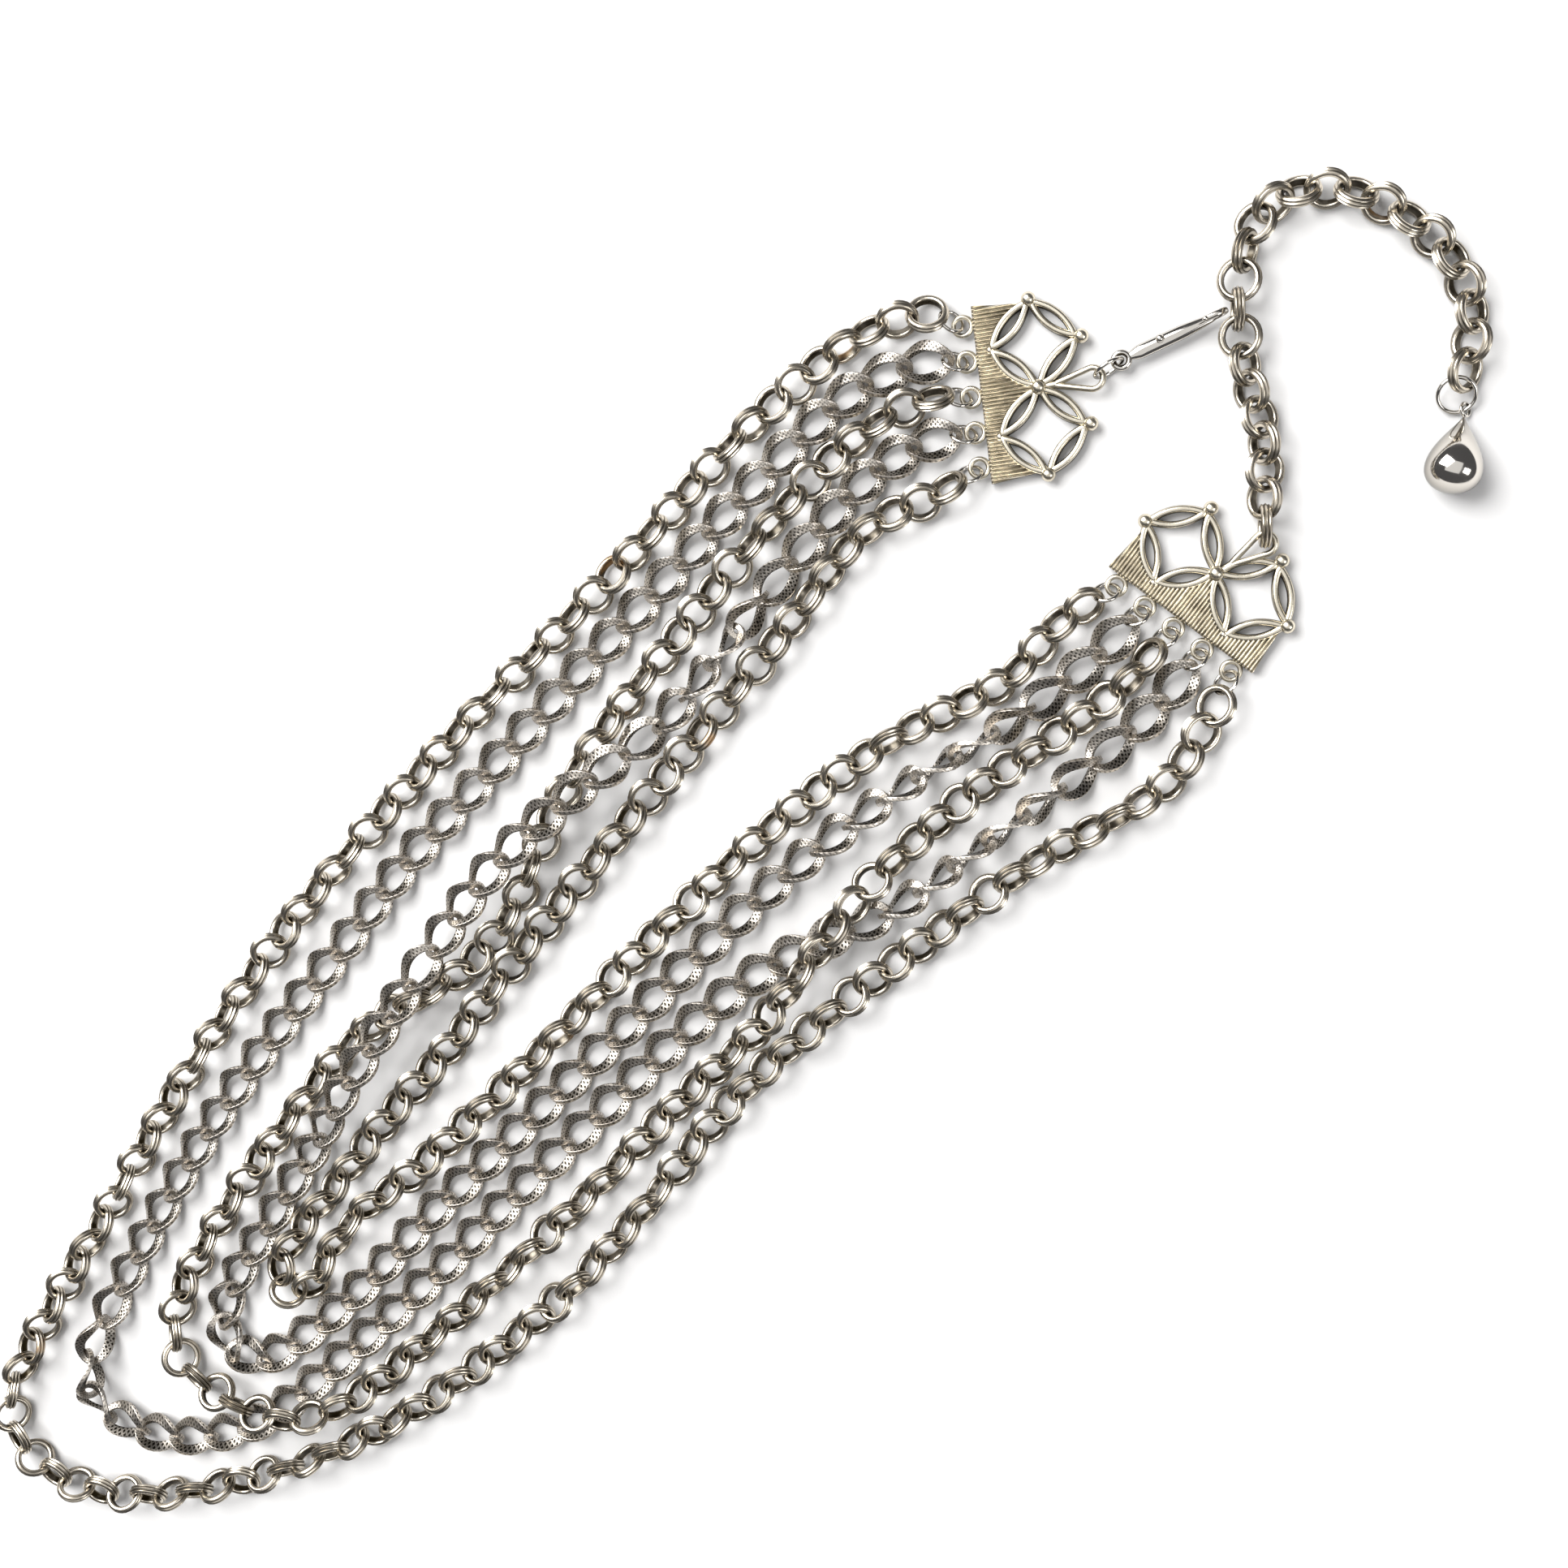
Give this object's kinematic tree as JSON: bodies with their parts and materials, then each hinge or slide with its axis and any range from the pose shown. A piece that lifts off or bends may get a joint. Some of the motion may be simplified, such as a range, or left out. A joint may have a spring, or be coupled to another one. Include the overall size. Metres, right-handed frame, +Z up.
{
  "type": "festoon necklace",
  "caption": "Festoon necklace of graduated silver-tone rolo and curb chains between openwork end plates, with hook, extender and pear drop.",
  "frame": {"origin": "centre of the whole piece as it lies, on the surface it lies on", "axes": "+Z up from the surface; +Y along the laid-out necklace, from the low end of the strands to the clasp and extender; +X across it, towards the plate that carries the extender"},
  "size_m": [0.083, 0.293, 0.0079],
  "materials": {
    "plate_metal": "bright silver-tone plating with darkened recesses",
    "rolo_metal": "bright silver-tone plating with dark grooves",
    "curb_metal": "satin pewter-grey plating with a fine cross-hatch",
    "bright_metal": "polished silver-tone plating"
  },
  "bodies": {
    "root": {"plate_left": "plate_metal", "plate_right": "plate_metal", "strand_1": "rolo_metal", "strand_2": "curb_metal", "strand_3": "rolo_metal", "strand_4": "curb_metal", "strand_5": "rolo_metal", "joiners_left": "bright_metal", "joiners_right": "bright_metal", "hook_ring": "bright_metal", "hook": "bright_metal", "extender_chain": "rolo_metal", "drop_ring": "bright_metal", "drop": "bright_metal"}
  },
  "joints": []
}
